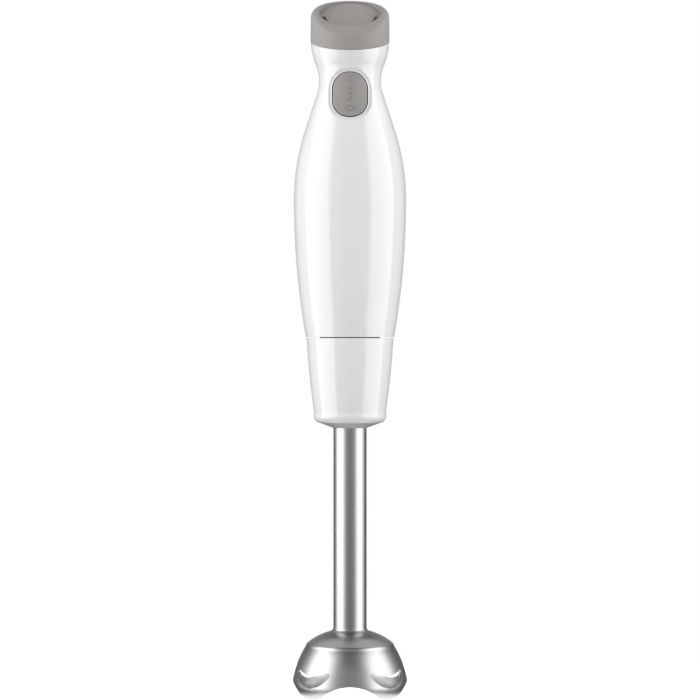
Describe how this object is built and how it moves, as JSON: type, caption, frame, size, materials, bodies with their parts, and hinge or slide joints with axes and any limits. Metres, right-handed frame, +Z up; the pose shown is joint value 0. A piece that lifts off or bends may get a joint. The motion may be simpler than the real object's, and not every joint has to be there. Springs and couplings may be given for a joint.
{
  "type": "immersion blender",
  "caption": "Hand-held stick blender: white two-part housing with grey cap and press button, push-fit steel foot with a bell guard and spinning blade.",
  "frame": {"origin": "middle of the circle that the blade guard stands on", "axes": "+Z up along the shaft to the cap, -Y to the front with the button, +X to the user's right as seen from the front"},
  "size_m": [0.0632, 0.0632, 0.3848],
  "materials": {
    "white_housing": "gloss",
    "grey_cap": "satin",
    "grey_button": "soft touch",
    "brushed_steel": "brushed",
    "blade_steel": "ground",
    "shaft_steel": "turned",
    "fastener_steel": "zinc plated",
    "spring_steel": "drawn wire",
    "bearing_steel": "ground",
    "bush_bronze": "sintered",
    "copper": "enamelled wire",
    "commutator_copper": "turned",
    "laminations": "stamped sheets",
    "black_rubber": "moulded",
    "inner_plastic": "moulded",
    "black_plastic": "glass filled",
    "drive_plastic": "acetal",
    "board": "circuit board",
    "carbon": "graphite"
  },
  "bodies": {
    "motor_unit": {"front_housing": "white_housing", "rear_housing": "white_housing", "housing_screws": "fastener_steel", "top_cap": "grey_cap", "cap_insert": "grey_cap", "cord_inlet": "black_rubber", "button_spring": "spring_steel", "switch_body": "black_plastic", "switch_board": "board", "coupling_housing": "inner_plastic", "spigot_seal": "black_rubber", "lower_bracket": "black_plastic", "upper_bracket": "black_plastic", "motor_ties": "fastener_steel", "lower_mount_ring": "black_rubber", "upper_mount_ring": "black_rubber", "lower_bearing": "bearing_steel", "upper_bearing": "bearing_steel", "stator_core": "laminations", "field_coils": "copper", "brush_holders": "black_plastic", "carbon_brushes": "carbon", "brush_springs": "spring_steel"},
    "rotor": {"motor_shaft": "shaft_steel", "rotor_core": "laminations", "rotor_winding": "copper", "commutator": "commutator_copper", "cooling_fan": "black_plastic", "drive_coupling": "drive_plastic"},
    "button": {"button": "grey_button"},
    "plunger": {"switch_plunger": "inner_plastic"},
    "foot": {"foot_collar": "white_housing", "foot_liner": "inner_plastic", "shaft_tube": "brushed_steel", "blade_guard": "brushed_steel", "guard_hub": "inner_plastic", "shaft_seal": "black_rubber", "lower_bush": "bush_bronze", "shaft_guide": "drive_plastic", "upper_bush": "bush_bronze"},
    "blade_drive": {"drive_shaft": "shaft_steel", "driven_coupling": "drive_plastic", "blade": "blade_steel", "blade_nut": "fastener_steel", "shaft_clip": "spring_steel", "blade_spacer": "shaft_steel"}
  },
  "joints": [
    {"name": "rotor_spin", "type": "hinge", "parent": "motor_unit", "child": "rotor", "pos_m": [0, 0, 0.248], "axis": [0, 0, 1], "continuous": true},
    {"name": "blade_spin", "type": "hinge", "parent": "foot", "child": "blade_drive", "pos_m": [0, 0, 0.1], "axis": [0, 0, 1], "continuous": true},
    {"name": "foot_release", "type": "slide", "parent": "motor_unit", "child": "foot", "axis": [0, 0, -1], "range_m": [0, 0.06]},
    {"name": "button_press", "type": "slide", "parent": "motor_unit", "child": "button", "axis": [0, 1, 0], "range_m": [0, 0.002], "stiffness_N_per_m": 1000, "springref_m": -0.001, "deforming": ["button_spring"]},
    {"name": "plunger_press", "type": "slide", "parent": "motor_unit", "child": "plunger", "axis": [0, 1, 0], "range_m": [0, 0.002]}
  ],
  "couplings": [
    {"joint": "blade_spin", "follows": "rotor_spin", "ratio": 1},
    {"joint": "plunger_press", "follows": "button_press", "ratio": 1}
  ]
}
